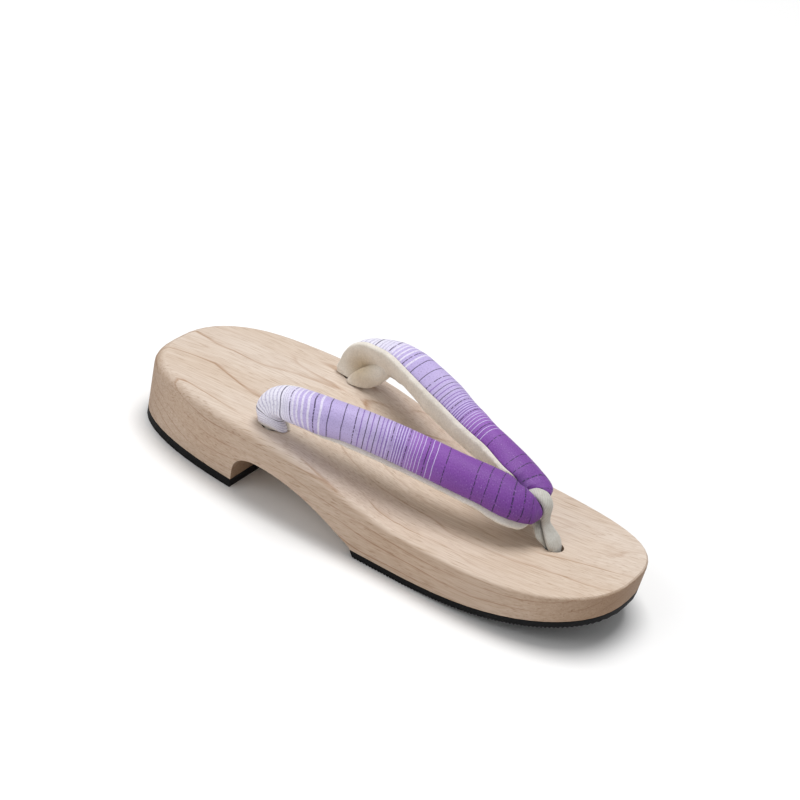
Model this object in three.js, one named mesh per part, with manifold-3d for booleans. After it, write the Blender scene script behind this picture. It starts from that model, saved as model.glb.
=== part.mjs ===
// A geta sandal: one carved paulownia base on two rubber treads, with a padded
// V-shaped strap, its velvet lining and a cotton toe post.
// Millimetres. +X points to the toe, +Y to the left, +Z up, and the floor is z = 0.
import * as THREE from 'three';
import { mergeVertices } from 'three/addons/utils/BufferGeometryUtils.js';
import Module from 'manifold-3d';

const wasm = await Module();
wasm.setup();

// Driving dimensions of the sole seen from above
const LENGTH = 240;
const WIDTH = 93;
const TOE_ROUND = { reach: 74.4, power: 2.55 };
const HEEL_ROUND = { reach: 99.7, power: 2.67 };

// Height of the footbed: a level heel seat, a ramp, a level ball and a raised toe
const HEEL_SEAT = { height: 34.0, droop: 3.0, droopStart: -85 };
const BALL_SEAT = { height: 22.6 };
const RAMP = { start: -45, end: 35 };
const TOE_RISE = { height: 6.6, start: 55 };
const EDGE_ROUND = { heel: 4.5, toe: 1.8, start: -60, end: 60 };

// The underside: walls draw in towards the floor, and the ball rocks up to the toe
const SIDE_DRAFT = { heel: 5, ball: 3, start: -60, end: 0 };
const END_DRAFT = 0.5;
const TOE_SPRING = { height: 14.5, start: 30 };
const TREAD_THICK = { heel: 4.0, ball: 3.1, change: -20 };
const GAP = 0.3;

// The arch between heel and ball, as its side profile. Each ease is how far the
// curve keeps its first direction on leaving that point.
const ARCH = {
  heelFace: -54.8,
  heelFaceTop: 9,
  heelEase: { x: 7.5, z: 8 },
  crown: { x: -41, z: 19.5 },
  crownEase: { x: 19, z: 0 },
  ballCorner: { x: 8.9, z: 4.3 },
  ballEase: { x: -17, z: 8.9 },
  treadCorner: 11.4,
  steps: 14,
};

// Drilled holes for the strap's tails and the toe post
const REAR_HOLE = { x: -45.2, y: 33.6, radius: 4.5, bottom: 10 };
const TOE_HOLE = { x: 81, y: 0, radius: 4.6, bottom: 8 };

// The left arm of the strap, from the V at the toe to its seat by the heel.
// x, y, z is the middle of the lining's face, width runs across the strap,
// thick is the padding's height and tilt turns its crown from up (0) to left (90).
const STRAP_STATIONS = [
  { x: 71.1, y: 1.4, z: 36.6, width: 8.2, thick: 5.9, tilt: 40 },
  { x: 69.3, y: 2.5, z: 36.8, width: 12.4, thick: 7.4, tilt: 40 },
  { x: 66.0, y: 4.6, z: 37.4, width: 14.4, thick: 9.0, tilt: 39 },
  { x: 60.0, y: 8.1, z: 39.4, width: 17.0, thick: 9.8, tilt: 36 },
  { x: 48.0, y: 10.9, z: 41.0, width: 18.0, thick: 11.1, tilt: 35 },
  { x: 34.0, y: 13.5, z: 42.5, width: 17.6, thick: 12.5, tilt: 37 },
  { x: 18.0, y: 16.9, z: 44.3, width: 16.8, thick: 14.1, tilt: 40 },
  { x: 2.0, y: 20.9, z: 46.2, width: 16.2, thick: 15.2, tilt: 44 },
  { x: -14.0, y: 25.5, z: 48.0, width: 15.8, thick: 15.4, tilt: 50 },
  { x: -28.0, y: 29.0, z: 49.1, width: 15.1, thick: 14.4, tilt: 60 },
  { x: -37.0, y: 29.8, z: 48.6, width: 14.2, thick: 13.1, tilt: 70 },
  { x: -41.0, y: 30.1, z: 47.8, width: 13.6, thick: 12.2, tilt: 77 },
  { x: -43.8, y: 30.2, z: 46.0, width: 13.2, thick: 11.3, tilt: 82 },
  { x: -45.4, y: 30.2, z: 43.2, width: 13.0, thick: 10.5, tilt: 86 },
  { x: -45.7, y: 30.2, z: 40.2, width: 13.2, thick: 9.6, tilt: 88 },
  { x: -45.4, y: 30.0, z: 37.2, width: 14.2, thick: 8.6, tilt: 90 },
  { x: -45.2, y: 29.8, z: 34.4, width: 15.4, thick: 7.6, tilt: 90 },
];
const STRAP_TAIL = { width: 5.6, near: 0.5, thick: 7.0, bottom: 24 };
const PADDING_POWER = 2.3;
const LINING = { thick: 1.7, gap: 0.4, crown: 0.9, inset: 0.4, firstX: 66, nearest: 0.9 };
const LINING_ROLL = { past: 1.1, start: -36, end: -18 };
const STRAP_STEPS = 2;
const STRAP_SIDES = 16;
const FACE_SHARES = [-1, -0.6, -0.2, 0.2, 0.6, 1];

// The toe post: a cotton tube that leaves the hole, climbs in front of the V,
// passes over it and comes back underneath to the same hole.
const POST_STATIONS = [
  { x: 82.2, z: 21.0, width: 6.0, thick: 4.2 },
  { x: 81.8, z: 24.2, width: 6.8, thick: 4.2 },
  { x: 80.6, z: 27.4, width: 7.6, thick: 4.4 },
  { x: 77.8, z: 31.2, width: 7.4, thick: 4.4 },
  { x: 75.0, z: 34.6, width: 6.0, thick: 4.2 },
  { x: 74.2, z: 39.2, width: 5.6, thick: 4.0 },
  { x: 73.6, z: 42.6, width: 5.8, thick: 4.2 },
  { x: 71.6, z: 45.2, width: 6.2, thick: 4.4 },
  { x: 68.4, z: 45.7, width: 6.2, thick: 4.4 },
  { x: 65.2, z: 43.8, width: 6.0, thick: 4.2 },
  { x: 63.2, z: 40.2, width: 5.6, thick: 4.0 },
  { x: 63.6, z: 36.2, width: 5.8, thick: 4.0 },
  { x: 67.4, z: 33.2, width: 6.2, thick: 4.0 },
  { x: 72.2, z: 31.4, width: 6.8, thick: 4.0 },
  { x: 76.2, z: 28.6, width: 7.2, thick: 4.0 },
  { x: 79.2, z: 24.4, width: 6.6, thick: 4.0 },
  { x: 80.0, z: 21.0, width: 6.0, thick: 4.0 },
];
const POST_TAIL = { radius: 4.2, top: 22.4, bottom: 12 };
const POST_CROWN = 8;
const POST_STEPS = 2;
const POST_SIDES = 14;

// Levels of the sole's skin: shares of the way out to its edge, and turns of the edge
const FOOTBED_SHARES = [0, 0.2, 0.4, 0.6, 0.8];
const EDGE_TURNS = [90, 62, 36, 15, 0];
const GROUND_SHARES = [0, TOE_SPRING.start / (LENGTH / 2), 0.42, 0.58, 0.72, 0.86, 1];
const OUTLINE_SIDES = 84;
const HOLE_SIDES = 28;
const CUT_WIDTH = WIDTH + 20;
const MERGE_DISTANCE = 1e-4;
const HALF_LENGTH = LENGTH / 2;
const HALF_WIDTH = WIDTH / 2;
const { clamp, degToRad, lerp, smoothstep } = THREE.MathUtils;

const FINISH = {
  paulownia: { color: '#dfc8a8', roughness: 0.6, metalness: 0 },
  rubber: { color: '#1d1c1d', roughness: 0.8, metalness: 0 },
  stripedCotton: { color: '#7e55ad', roughness: 0.7, metalness: 0 },
  velvet: { color: '#e6dfcb', roughness: 0.95, metalness: 0 },
  cotton: { color: '#e4e2da', roughness: 0.9, metalness: 0 },
};

// Half the sole's width at x: round at both ends, full in the middle
function halfWidth(x) {
  const end = (distance, { reach, power }) => {
    const share = clamp(1 - distance / reach, 0, 1);
    return (1 - share ** power) ** (1 / power);
  };
  return HALF_WIDTH * Math.min(end(HALF_LENGTH - x, TOE_ROUND), end(HALF_LENGTH + x, HEEL_ROUND));
}

// A point of the outline at an angle seen from above, toe at 0
function outlinePoint(angle) {
  const x = HALF_LENGTH * Math.cos(angle);
  return new THREE.Vector2(x, halfWidth(x) * Math.sign(Math.sin(angle)));
}

// The outline drawn in by a distance, square to its edge
function insetPoint(angle, distance) {
  const turn = Math.PI / OUTLINE_SIDES;
  const along = outlinePoint(angle + turn).sub(outlinePoint(angle - turn)).normalize();
  return outlinePoint(angle).add(new THREE.Vector2(-along.y, along.x).multiplyScalar(distance));
}

function footbedHeight(x) {
  const ramp = (HEEL_SEAT.height - BALL_SEAT.height) * smoothstep(x, RAMP.start, RAMP.end);
  const toe = Math.max(0, (x - TOE_RISE.start) / (HALF_LENGTH - TOE_RISE.start));
  const heel = Math.max(0, (HEEL_SEAT.droopStart - x) / (HALF_LENGTH + HEEL_SEAT.droopStart));
  return HEEL_SEAT.height - ramp + TOE_RISE.height * toe ** 2 - HEEL_SEAT.droop * heel ** 2;
}

function edgeRadius(x) {
  return lerp(EDGE_ROUND.heel, EDGE_ROUND.toe, smoothstep(x, EDGE_ROUND.start, EDGE_ROUND.end));
}

// Height of the ground side of the treads: flat, then rocking up to the toe
function groundHeight(x) {
  const rise = Math.max(0, (x - TOE_SPRING.start) / (HALF_LENGTH - TOE_SPRING.start));
  return TOE_SPRING.height * rise ** 2;
}

function treadThickness(x) {
  return x < TREAD_THICK.change ? TREAD_THICK.heel : TREAD_THICK.ball;
}

// A point of the drawn-in side wall at a height above the ground side
function wallPoint(angle, rise) {
  const top = outlinePoint(angle);
  const wallHeight = footbedHeight(top.x) - edgeRadius(top.x) - groundHeight(top.x);
  const down = 1 - rise / wallHeight;
  const side = lerp(SIDE_DRAFT.heel, SIDE_DRAFT.ball, smoothstep(top.x, SIDE_DRAFT.start, SIDE_DRAFT.end));
  const x = top.x * (1 - (down * END_DRAFT) / HALF_LENGTH);
  const y = top.y * (1 - (down * side) / HALF_WIDTH);
  return new THREE.Vector3(x, y, groundHeight(top.x) + rise);
}

// A level inside the footprint: the wall's edge at that rise shrunk to a share
function sharePoint(angle, rise, share) {
  const edge = wallPoint(angle, rise(outlinePoint(angle).x));
  const x = edge.x * share;
  return new THREE.Vector3(x, edge.y * share, groundHeight(x) + rise(x));
}

// The rounded top edge, from the wall (0) to the footbed (90 degrees)
function edgePoint(angle, turn) {
  const radius = edgeRadius(outlinePoint(angle).x);
  const { x, y } = insetPoint(angle, radius * (1 - Math.cos(turn)));
  return new THREE.Vector3(x, y, footbedHeight(x) - radius * (1 - Math.sin(turn)));
}

function footbedPoint(angle, share) {
  const { x, y } = edgePoint(angle, Math.PI / 2);
  return new THREE.Vector3(x * share, y * share, footbedHeight(x * share));
}

// A closed skin: a sphere's parallels, from its top pole to its bottom pole,
// moved to the rows of points that a function gives
function skin(rowCount, sides, pointAt) {
  const geometry = new THREE.SphereGeometry(1, sides, rowCount - 1);
  geometry.deleteAttribute('normal');
  geometry.deleteAttribute('uv');
  const position = geometry.getAttribute('position');
  for (let row = 0; row < rowCount; row += 1) {
    for (let side = 0; side <= sides; side += 1) {
      const { x, y, z } = pointAt(row, side % sides);
      position.setXYZ(row * (sides + 1) + side, x, y, z);
    }
  }
  return mergeVertices(geometry, MERGE_DISTANCE);
}

function solidOf(geometry) {
  const bare = geometry.clone();
  bare.deleteAttribute('normal');
  bare.deleteAttribute('uv');
  const merged = mergeVertices(bare, MERGE_DISTANCE);
  return new wasm.Manifold(new wasm.Mesh({
    numProp: 3,
    vertProperties: new Float32Array(merged.getAttribute('position').array),
    triVerts: new Uint32Array(merged.index.array),
  }));
}

function geometryOf(solid) {
  const { vertProperties, triVerts } = solid.getMesh();
  const geometry = new THREE.BufferGeometry();
  geometry.setAttribute('position', new THREE.BufferAttribute(vertProperties, 3));
  geometry.setIndex(new THREE.BufferAttribute(triVerts, 1));
  geometry.computeVertexNormals();
  return geometry;
}

// Skin over levels that each give a point for an angle round the sole
function soleSkin(levels) {
  return solidOf(skin(levels.length, OUTLINE_SIDES, (row, side) => (
    levels[row]((side * 2 * Math.PI) / OUTLINE_SIDES)
  )));
}

// The space of the arch, run through from side to side
function archSpace() {
  const below = -TREAD_THICK.heel;
  const { heelFace, heelFaceTop, heelEase, crown, crownEase, ballCorner, ballEase, treadCorner } = ARCH;
  const profile = new THREE.Shape();
  profile.moveTo(heelFace, below);
  profile.lineTo(heelFace, heelFaceTop);
  profile.bezierCurveTo(
    heelFace, heelFaceTop + heelEase.z,
    crown.x - heelEase.x, crown.z,
    crown.x, crown.z,
  );
  profile.bezierCurveTo(
    crown.x + crownEase.x, crown.z + crownEase.z,
    ballCorner.x + ballEase.x, ballCorner.z + ballEase.z,
    ballCorner.x, ballCorner.z,
  );
  profile.lineTo(treadCorner, 0);
  profile.lineTo(treadCorner, below);
  profile.closePath();
  const through = { depth: CUT_WIDTH, bevelEnabled: false, curveSegments: ARCH.steps };
  const geometry = new THREE.ExtrudeGeometry(profile, through);
  return solidOf(geometry.rotateX(Math.PI / 2).translate(0, CUT_WIDTH / 2, 0));
}

function drillHole({ x, y, radius, bottom }) {
  const height = HEEL_SEAT.height;
  const geometry = new THREE.CylinderGeometry(radius, radius, height, HOLE_SIDES);
  return solidOf(geometry.rotateX(Math.PI / 2).translate(x, y, bottom + height / 2));
}

function woodBase(arch) {
  const rise = (x) => treadThickness(x) + GAP;
  const turns = EDGE_TURNS.map(degToRad);
  const block = soleSkin([
    ...FOOTBED_SHARES.map((share) => (angle) => footbedPoint(angle, share)),
    ...turns.map((turn) => (angle) => edgePoint(angle, turn)),
    ...GROUND_SHARES.toReversed().map((share) => (angle) => sharePoint(angle, rise, share)),
  ]);
  return block
    .subtract(arch)
    .subtract(drillHole(REAR_HOLE))
    .subtract(drillHole({ ...REAR_HOLE, y: -REAR_HOLE.y }))
    .subtract(drillHole(TOE_HOLE));
}

// A rubber tread under the heel or the ball, cut off by the arch
function rubberTread(arch, thickness, keepsHeel) {
  const top = () => thickness;
  const ground = () => 0;
  const sheet = soleSkin([
    ...GROUND_SHARES.map((share) => (angle) => sharePoint(angle, top, share)),
    ...GROUND_SHARES.toReversed().map((share) => (angle) => sharePoint(angle, ground, share)),
  ]);
  const half = new THREE.BoxGeometry(LENGTH, CUT_WIDTH, HEEL_SEAT.height * 2);
  const middle = (ARCH.heelFace + ARCH.treadCorner) / 2;
  const keep = solidOf(half.translate(middle + (keepsHeel ? -HALF_LENGTH : HALF_LENGTH), 0, 0));
  return sheet.subtract(arch).intersect(keep);
}

// Rows between the stations of a table, on smooth curves through every column
function stationRows(stations, steps) {
  const columns = Object.keys(stations[0]);
  const middle = new THREE.CatmullRomCurve3(stations.map(({ x, y = 0, z }) => new THREE.Vector3(x, y, z)));
  const count = (stations.length - 1) * steps;
  return Array.from({ length: count + 1 }, (_, row) => {
    const t = row / count;
    const from = Math.min(Math.floor(row / steps), stations.length - 2);
    const share = row / steps - from;
    const values = Object.fromEntries(columns.map((name) => (
      [name, lerp(stations[from][name], stations[from + 1][name], share)]
    )));
    return { ...values, centre: middle.getPoint(t), along: middle.getTangent(t) };
  });
}

// Directions of a strap row: out through the crown, and across to the inner edge
function strapFrame({ centre, along, tilt }) {
  const lean = degToRad(tilt);
  const out = new THREE.Vector3(0, Math.sin(lean), Math.cos(lean));
  out.addScaledVector(along, -out.dot(along)).normalize();
  const across = new THREE.Vector3().crossVectors(out, along).normalize();
  return (u, v) => centre.clone().addScaledVector(across, u).addScaledVector(out, v);
}

// A closed skin along strap rows, from a section's points and with flat ends.
// Each point of the section gives its row's distances across and out.
function strapSkin(rows, section) {
  const rings = rows.map((row) => {
    const place = strapFrame(row);
    return section.map((point) => place(...point(row)));
  });
  const middle = (ring) => ring
    .reduce((sum, point) => sum.add(point), new THREE.Vector3())
    .divideScalar(ring.length);
  const levels = [section.map(() => middle(rings[0])), ...rings, section.map(() => middle(rings.at(-1)))];
  return solidOf(skin(levels.length, section.length, (row, side) => levels[row][section.length - 1 - side]));
}

// One padded arm: a full D section on a flat face above the lining
function strapArm(rows) {
  const base = LINING.thick + LINING.gap;
  const bow = (value) => Math.sign(value) * Math.abs(value) ** (2 / PADDING_POWER);
  const crown = Array.from({ length: STRAP_SIDES }, (_, side) => (side * Math.PI) / (STRAP_SIDES - 1));
  return strapSkin(rows, [
    ...crown.map((turn) => ({ width, thick }) => (
      [(width / 2) * bow(Math.cos(turn)), base + (thick - base) * bow(Math.abs(Math.sin(turn)))]
    )),
    ...FACE_SHARES.slice(1, -1).map((share) => ({ width }) => [(share * width) / 2, base]),
  ]);
}

// The strap's rows, of which the last stands flat on the footbed
function strapRows() {
  const rows = stationRows(STRAP_STATIONS, STRAP_STEPS);
  rows.at(-1).along.set(0, 0, -1);
  return rows;
}

// The narrow tail that drops from the strap's seat into the rear hole
function tailRows({ centre: { x, y, z }, ...seat }) {
  const { width, thick, near, bottom } = STRAP_TAIL;
  return [z, bottom].map((height) => (
    { ...seat, width, thick, centre: new THREE.Vector3(x, y + near, height) }
  ));
}

// The lining: a thin crowned band on the strap's inner face, which rolls out past
// the padding along its lower edge and ends on either side of the toe post
function liningBand() {
  const rows = strapRows().filter(({ centre }) => centre.x <= LINING.firstX);
  const across = ({ width, centre }, share) => {
    const roll = LINING_ROLL.past * smoothstep(centre.x, LINING_ROLL.start, LINING_ROLL.end);
    const inner = width / 2 - LINING.inset;
    return lerp(-inner - (LINING.inset + roll), inner, (share + 1) / 2);
  };
  const band = strapSkin(rows, [
    ...FACE_SHARES.toReversed().map((share) => (row) => [across(row, share), LINING.thick]),
    ...FACE_SHARES.map((share) => (row) => [across(row, share), -LINING.crown * (1 - share ** 2)]),
  ]);
  const leftSide = new THREE.BoxGeometry(LENGTH, CUT_WIDTH, LENGTH);
  const keep = solidOf(leftSide.translate(0, CUT_WIDTH / 2 + LINING.nearest, 0));
  return band.intersect(keep).subtract(toePost(GAP));
}

// The cotton tube of the toe post: its front and back legs, which meet over the V,
// and a tail in its hole
function toePost(grow) {
  const rows = stationRows(POST_STATIONS, POST_STEPS);
  const sideways = new THREE.Vector3(0, 1, 0);
  const rings = rows.map(({ centre, along, width, thick }) => {
    const out = new THREE.Vector3().crossVectors(along, sideways).normalize();
    return (side) => {
      const turn = (side * 2 * Math.PI) / POST_SIDES;
      return centre.clone()
        .addScaledVector(sideways, (width / 2 + grow) * Math.cos(turn))
        .addScaledVector(out, (thick / 2 + grow) * Math.sin(turn));
    };
  });
  const leg = (first, last) => {
    const levels = [() => rows[first].centre, ...rings.slice(first, last + 1), () => rows[last].centre];
    return solidOf(skin(levels.length, POST_SIDES, (row, side) => levels[row](POST_SIDES - side)));
  };
  const crown = POST_CROWN * POST_STEPS;
  const height = POST_TAIL.top - POST_TAIL.bottom;
  const tail = new THREE.CylinderGeometry(POST_TAIL.radius, POST_TAIL.radius, height, HOLE_SIDES);
  tail.rotateX(Math.PI / 2).translate(TOE_HOLE.x, TOE_HOLE.y, POST_TAIL.bottom + height / 2);
  return leg(0, crown + 1).add(leg(crown, rows.length - 1)).add(solidOf(tail));
}

function mirrored(solid) {
  const geometry = geometryOf(solid).scale(1, -1, 1);
  const index = geometry.index.array;
  for (let corner = 0; corner < index.length; corner += 3) {
    [index[corner], index[corner + 1]] = [index[corner + 1], index[corner]];
  }
  return solidOf(geometry);
}

const sandal = new THREE.Group();

function addPiece(name, solid, finish) {
  const mesh = new THREE.Mesh(geometryOf(solid), new THREE.MeshStandardMaterial(finish));
  mesh.name = name;
  sandal.add(mesh);
}

const arch = archSpace();
const armRows = strapRows();
const leftArm = strapArm([...armRows, ...tailRows(armRows.at(-1))]);
const strap = leftArm.add(mirrored(leftArm)).subtract(toePost(GAP));
const leftLining = liningBand();

addPiece('wood_base', woodBase(arch), FINISH.paulownia);
addPiece('rubber_heel', rubberTread(arch, TREAD_THICK.heel, true), FINISH.rubber);
addPiece('rubber_forefoot', rubberTread(arch, TREAD_THICK.ball, false), FINISH.rubber);
addPiece('strap', strap, FINISH.stripedCotton);
addPiece('lining_left', leftLining, FINISH.velvet);
addPiece('lining_right', mirrored(leftLining), FINISH.velvet);
addPiece('toe_post', toePost(0), FINISH.cotton);

export default sandal;
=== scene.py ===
import math
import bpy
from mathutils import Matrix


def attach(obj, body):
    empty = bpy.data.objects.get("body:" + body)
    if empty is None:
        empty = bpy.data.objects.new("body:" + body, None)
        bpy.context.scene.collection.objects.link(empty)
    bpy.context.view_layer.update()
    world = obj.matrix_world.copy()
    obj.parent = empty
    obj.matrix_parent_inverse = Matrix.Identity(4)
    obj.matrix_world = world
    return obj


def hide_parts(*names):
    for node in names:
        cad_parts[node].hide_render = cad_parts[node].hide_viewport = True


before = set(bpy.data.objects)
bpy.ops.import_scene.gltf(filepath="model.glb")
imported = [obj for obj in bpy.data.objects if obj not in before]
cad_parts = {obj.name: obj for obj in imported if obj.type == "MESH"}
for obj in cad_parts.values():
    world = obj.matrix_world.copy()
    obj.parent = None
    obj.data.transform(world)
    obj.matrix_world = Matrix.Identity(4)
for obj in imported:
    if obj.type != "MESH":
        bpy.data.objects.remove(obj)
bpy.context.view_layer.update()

from types import SimpleNamespace

import bmesh
import bpy
import numpy as np
from mathutils import Matrix, Vector, noise

# The looks of a geta sandal: a carved paulownia base on two rubber treads, with a
# stuffed V-shaped strap of striped cotton, its velvet lining and a cotton toe post.
# Shapes are worked out in millimetres in the part's own frame, toe along +X, and are
# turned to metres when a piece is finished.
MM = 0.001

# The left arm of the strap from the V to its seat: the middle of the lining's face,
# the width across, the height of the padding and the lean of its crown in degrees
STRAP_STATIONS = [
    (70.2, 1.4, 36.6, 8.2, 5.6, 40),
    (68.4, 2.5, 36.8, 12.4, 7.0, 40),
    (65.2, 4.6, 37.4, 14.4, 8.5, 39),
    (59.5, 8.1, 39.4, 17.0, 9.3, 36),
    (48.0, 10.9, 41.0, 18.0, 10.6, 35),
    (34.0, 13.5, 42.5, 17.6, 12.0, 37),
    (18.0, 16.9, 44.3, 16.8, 13.7, 40),
    (2.0, 20.9, 46.2, 16.2, 15.2, 44),
    (-14.0, 25.5, 48.0, 15.8, 15.4, 50),
    (-28.0, 29.0, 49.1, 15.1, 14.2, 60),
    (-37.0, 29.8, 48.6, 14.2, 12.8, 70),
    (-41.0, 30.1, 47.8, 13.6, 11.9, 77),
    (-43.8, 30.2, 46.0, 13.2, 11.2, 82),
    (-45.4, 30.2, 43.2, 13.0, 10.5, 86),
    (-45.7, 30.2, 40.2, 13.2, 9.6, 88),
    (-45.4, 30.0, 37.2, 14.2, 8.6, 90),
    (-45.2, 29.8, 34.4, 15.4, 7.6, 90),
]
STRAP_PITCH = 0.8
STRAP_TAIL = SimpleNamespace(width=5.6, thick=7.0, near=0.5, bottom=24.0)
COVER_BASE = 2.1
COVER_POWER = 2.3
CROWN_SIDES = 27
FACE_SIDES = 8

# The cotton band of the toe post, up from its hole in front of the V, over it and back
# underneath: x, the sideways middle, z, width across and thickness
POST_STATIONS = [
    (82.9, 0.0, 13.0, 6.8, 3.5),
    (82.9, 0.0, 17.5, 7.0, 3.5),
    (82.8, 0.0, 21.0, 7.4, 3.7),
    (81.9, -0.2, 23.8, 9.6, 4.2),
    (80.0, -0.3, 26.8, 10.6, 4.0),
    (77.0, -0.1, 29.8, 8.0, 3.6),
    (74.6, 0.0, 32.8, 4.8, 3.4),
    (73.6, 0.0, 36.6, 5.6, 3.8),
    (73.2, 0.0, 40.6, 6.6, 4.0),
    (71.0, 0.0, 43.2, 7.4, 4.2),
    (67.6, 0.0, 43.8, 7.4, 4.2),
    (64.4, 0.0, 42.2, 6.6, 4.0),
    (62.4, 0.0, 39.2, 5.8, 3.8),
    (62.8, 0.0, 35.6, 5.4, 3.6),
    (66.6, 0.0, 32.6, 5.0, 3.4),
    (70.2, -0.2, 31.2, 5.8, 3.2),
    (72.4, -0.6, 30.2, 8.4, 2.8),
    (74.3, -0.9, 28.0, 10.4, 2.6),
    (77.0, -0.2, 24.8, 8.4, 3.0),
    (78.9, 0.0, 21.0, 6.8, 3.3),
    (79.0, 0.0, 17.5, 6.6, 3.3),
    (79.0, 0.0, 13.0, 6.6, 3.3),
]
# The drilled hole that it comes from: its middle, the height of its rim and the room within its wall
TOE_HOLE = SimpleNamespace(x=81.0, rim=24.2, room=4.3, flare=2.0)
POST_PITCH = 1.2
POST_SIDES = 22


def linear(code):
    """A colour written as sRGB hex, in the linear values that a shader takes."""
    parts = [int(code[place:place + 2], 16) / 255 for place in (1, 3, 5)]
    return [p / 12.92 if p <= 0.04045 else ((p + 0.055) / 1.055) ** 2.4 for p in parts] + [1.0]


def node(tree, kind, sockets=None, stops=(), **settings):
    """Adds a node with its settings, each socket given a value or linked to another's output,
    and a ramp's colours given as places and sRGB codes. Sockets go by name, or by number where
    names repeat: a map range takes a value at 0 and turns 1 to 2 into 3 to 4, and a colour mix
    takes its share at 0 and its colours at 6 and 7."""
    made = tree.nodes.new("ShaderNode" + kind)
    for name, value in settings.items():
        setattr(made, name, value)
    for name, value in (sockets or {}).items():
        if isinstance(value, bpy.types.NodeSocket):
            tree.links.new(value, made.inputs[name])
        else:
            made.inputs[name].default_value = value
    for count, (place, code) in enumerate(stops):
        ramp = made.color_ramp.elements
        if count == 0:
            stop = ramp[0]
        elif count == len(stops) - 1:
            stop = ramp[len(ramp) - 1]
        else:
            stop = ramp.new(place)
        stop.position = place
        stop.color = linear(code)
    return made


def finish_material(name):
    """A new material, with its node tree and its principled shader."""
    made = bpy.data.materials.new(name)
    made.use_nodes = True
    return made, made.node_tree, made.node_tree.nodes["Principled BSDF"]


def smooth_share(value, start, end):
    """How far a value has come from start to end, easing in and out."""
    share = min(max((value - start) / (end - start), 0.0), 1.0)
    return share * share * (3 - 2 * share)


def path_rows(stations, pitch):
    """Rows about one pitch apart on the smooth curve through a table of stations."""
    points = [np.array(station, float) for station in stations]
    points = [2 * points[0] - points[1], *points, 2 * points[-1] - points[-2]]
    rows = []
    for i in range(1, len(points) - 2):
        p0, p1, p2, p3 = points[i - 1:i + 3]
        d0, d1, d2 = (np.linalg.norm((b - a)[:3]) ** 0.5 for a, b in ((p0, p1), (p1, p2), (p2, p3)))
        leave = ((p1 - p0) / d0 - (p2 - p0) / (d0 + d1) + (p2 - p1) / d1) * d1
        reach = ((p2 - p1) / d1 - (p3 - p1) / (d1 + d2) + (p3 - p2) / d2) * d1
        square = 3 * (p2 - p1) - 2 * leave - reach
        cube = 2 * (p1 - p2) + leave + reach
        steps = max(1, round(np.linalg.norm((p2 - p1)[:3]) / pitch))
        last = i == len(points) - 3
        for k in range(steps + last):
            t = k / steps
            value = p1 + leave * t + square * t ** 2 + cube * t ** 3
            slope = leave + square * (2 * t) + cube * (3 * t ** 2)
            rows.append((value.tolist(), Vector(slope[:3]).normalized()))
    return rows


def strap_rows():
    """Rows of the left arm, each with its directions and its way along from the tip."""
    rows = []
    way = 0.0
    for value, along in path_rows(STRAP_STATIONS, STRAP_PITCH):
        x, y, z, width, thick, tilt = value
        centre = Vector((x, y, z))
        if rows:
            way += (centre - rows[-1].centre).length
        lean = math.radians(tilt)
        out = Vector((0, math.sin(lean), math.cos(lean)))
        out = (out - along * out.dot(along)).normalized()
        across = out.cross(along).normalized()
        rows.append(SimpleNamespace(centre=centre, along=along, out=out, across=across,
                                    width=width, thick=thick, way=way))
    seat = rows[-1]
    seat.along = Vector((0, 0, -1))
    seat.out = Vector((0, 1, 0))
    seat.across = Vector((-1, 0, 0))
    return rows


def ring_tube(rings, maps):
    """A closed tube: one ring of vertices, extruded from row to row and set to each ring's
    points. Its map "cloth" gives every point its millimetres along and around."""
    bm = bmesh.new()
    sides = len(rings[0])
    verts = bmesh.ops.create_circle(bm, cap_ends=True, segments=sides, radius=1)["verts"]
    edges = bm.edges[:]
    place = {}
    for row, ring in enumerate(rings):
        if row:
            made = bmesh.ops.extrude_edge_only(bm, edges=edges)["geom"]
            by_old = {}
            for edge in (e for v in verts for e in v.link_edges):
                a, b = edge.verts
                if a in place and b not in place:
                    by_old[a] = b
                elif b in place and a not in place:
                    by_old[b] = a
            verts = [by_old[v] for v in verts]
            edges = [e for e in made if isinstance(e, bmesh.types.BMEdge)
                     and all(v not in place for v in e.verts)]
        for side, (vert, point) in enumerate(zip(verts, ring)):
            vert.co = point
            place[vert] = (row, side)
    bmesh.ops.contextual_create(bm, geom=edges)
    layer = bm.loops.layers.uv.new("cloth")
    for face in bm.faces:
        face.smooth = True
        spots = [place[loop.vert] for loop in face.loops]
        wraps = any(side == sides - 1 for _, side in spots) and any(side == 0 for _, side in spots)
        for loop, (row, side) in zip(face.loops, spots):
            full = wraps and side == 0 and len(spots) == 4
            loop[layer].uv = maps[row][sides if full else side]
    bmesh.ops.recalc_face_normals(bm, faces=bm.faces)
    return bm


def girth(ring):
    """The way around a ring at each of its points, and back to the first."""
    total = [0.0]
    for a, b in zip(ring, [*ring[1:], ring[0]]):
        total.append(total[-1] + (b - a).length)
    return total


def add_piece(name, bm, material, slot, *nodes):
    """Turns a bmesh in millimetres into a finished piece that stands for CAD nodes."""
    bmesh.ops.scale(bm, vec=(MM, MM, MM), verts=bm.verts)
    mesh = bpy.data.meshes.new(name)
    bm.to_mesh(mesh)
    bm.free()
    piece = bpy.data.objects.new(name, mesh)
    bpy.context.scene.collection.objects.link(piece)
    mesh.materials.append(material)
    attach(piece, "root")
    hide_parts(*nodes)
    return piece


def soften(piece, levels):
    """Adds a subdivision surface, the same in the view and in the render."""
    made = piece.modifiers.new("soften", "SUBSURF")
    made.levels = levels
    made.render_levels = levels


def node_copy(name):
    """A merged copy of a CAD node's triangles, in millimetres."""
    bm = bmesh.new()
    bm.from_mesh(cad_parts[name].data)
    bmesh.ops.scale(bm, vec=(1 / MM, 1 / MM, 1 / MM), verts=bm.verts)
    bmesh.ops.remove_doubles(bm, verts=bm.verts, dist=0.001)
    return bm


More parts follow.
